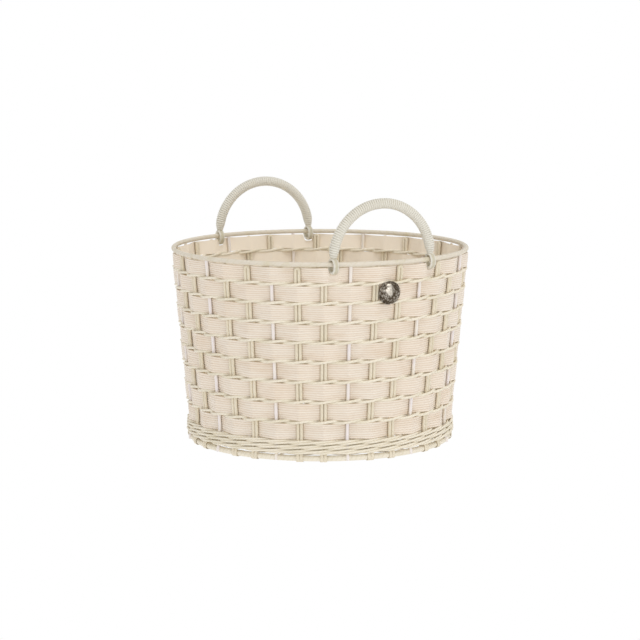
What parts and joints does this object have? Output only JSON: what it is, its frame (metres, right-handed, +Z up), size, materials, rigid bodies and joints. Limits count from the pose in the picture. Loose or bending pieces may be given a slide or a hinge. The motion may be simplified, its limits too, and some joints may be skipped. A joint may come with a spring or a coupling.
{
  "type": "storage basket",
  "caption": "Round open storage basket of flat bands and cord woven over wires, with a rim and two wound handles that swing on it.",
  "frame": {"origin": "on the floor under the middle of the basket's bounding box, which is the middle of the base", "axes": "+Z up; -Y is the front, where the medallion and the front handle are; X runs across, 1.1 degrees off the handles' hinge lines"},
  "size_m": [0.36, 0.365, 0.3061],
  "materials": {
    "painted_wire": "satin",
    "band_paper": "matte",
    "cord_paper": "matte",
    "old_silver": "satin"
  },
  "bodies": {
    "basket": {"rim_ring": "cord_paper", "base_ring": "cord_paper", "hub_ring": "painted_wire", "frame_wire_01": "painted_wire", "frame_wire_02": "painted_wire", "frame_wire_03": "painted_wire", "frame_wire_04": "painted_wire", "frame_wire_05": "painted_wire", "frame_wire_06": "painted_wire", "frame_wire_07": "painted_wire", "frame_wire_08": "painted_wire", "frame_wire_09": "painted_wire", "frame_wire_10": "painted_wire", "frame_wire_11": "painted_wire", "frame_wire_12": "painted_wire", "warp_cord_01": "cord_paper", "warp_cord_02": "cord_paper", "warp_cord_03": "cord_paper", "warp_cord_04": "cord_paper", "warp_cord_05": "cord_paper", "warp_cord_06": "cord_paper", "warp_cord_07": "cord_paper", "warp_cord_08": "cord_paper", "warp_cord_09": "cord_paper", "warp_cord_10": "cord_paper", "warp_cord_11": "cord_paper", "warp_cord_12": "cord_paper", "base_spoke_01": "painted_wire", "base_spoke_02": "painted_wire", "base_spoke_03": "painted_wire", "base_spoke_04": "painted_wire", "base_spoke_05": "painted_wire", "base_spoke_06": "painted_wire", "base_mat": "band_paper", "waling": "cord_paper", "band_01": "band_paper", "band_02": "band_paper", "band_03": "band_paper", "band_04": "band_paper", "band_05": "band_paper", "band_06": "band_paper", "band_07": "band_paper", "band_08": "band_paper", "band_09": "band_paper", "twine_01": "cord_paper", "twine_02": "cord_paper", "twine_03": "cord_paper", "twine_04": "cord_paper", "twine_05": "cord_paper", "twine_06": "cord_paper", "twine_07": "cord_paper", "twine_08": "cord_paper", "medallion": "old_silver", "medallion_cap": "old_silver"},
    "front_handle": {"front_handle_rod": "painted_wire", "front_handle_winding": "cord_paper"},
    "back_handle": {"back_handle_rod": "painted_wire", "back_handle_winding": "cord_paper"}
  },
  "joints": [
    {"name": "front_handle", "type": "hinge", "parent": "basket", "child": "front_handle", "pos_m": [-0.00319, -0.16604, 0.2309], "axis": [0.9998, -0.0192, 0], "range_deg": [-138, 157]},
    {"name": "back_handle", "type": "hinge", "parent": "basket", "child": "back_handle", "pos_m": [0.00319, 0.16604, 0.2309], "axis": [-0.9998, 0.0192, 0], "range_deg": [-138, 157]}
  ]
}
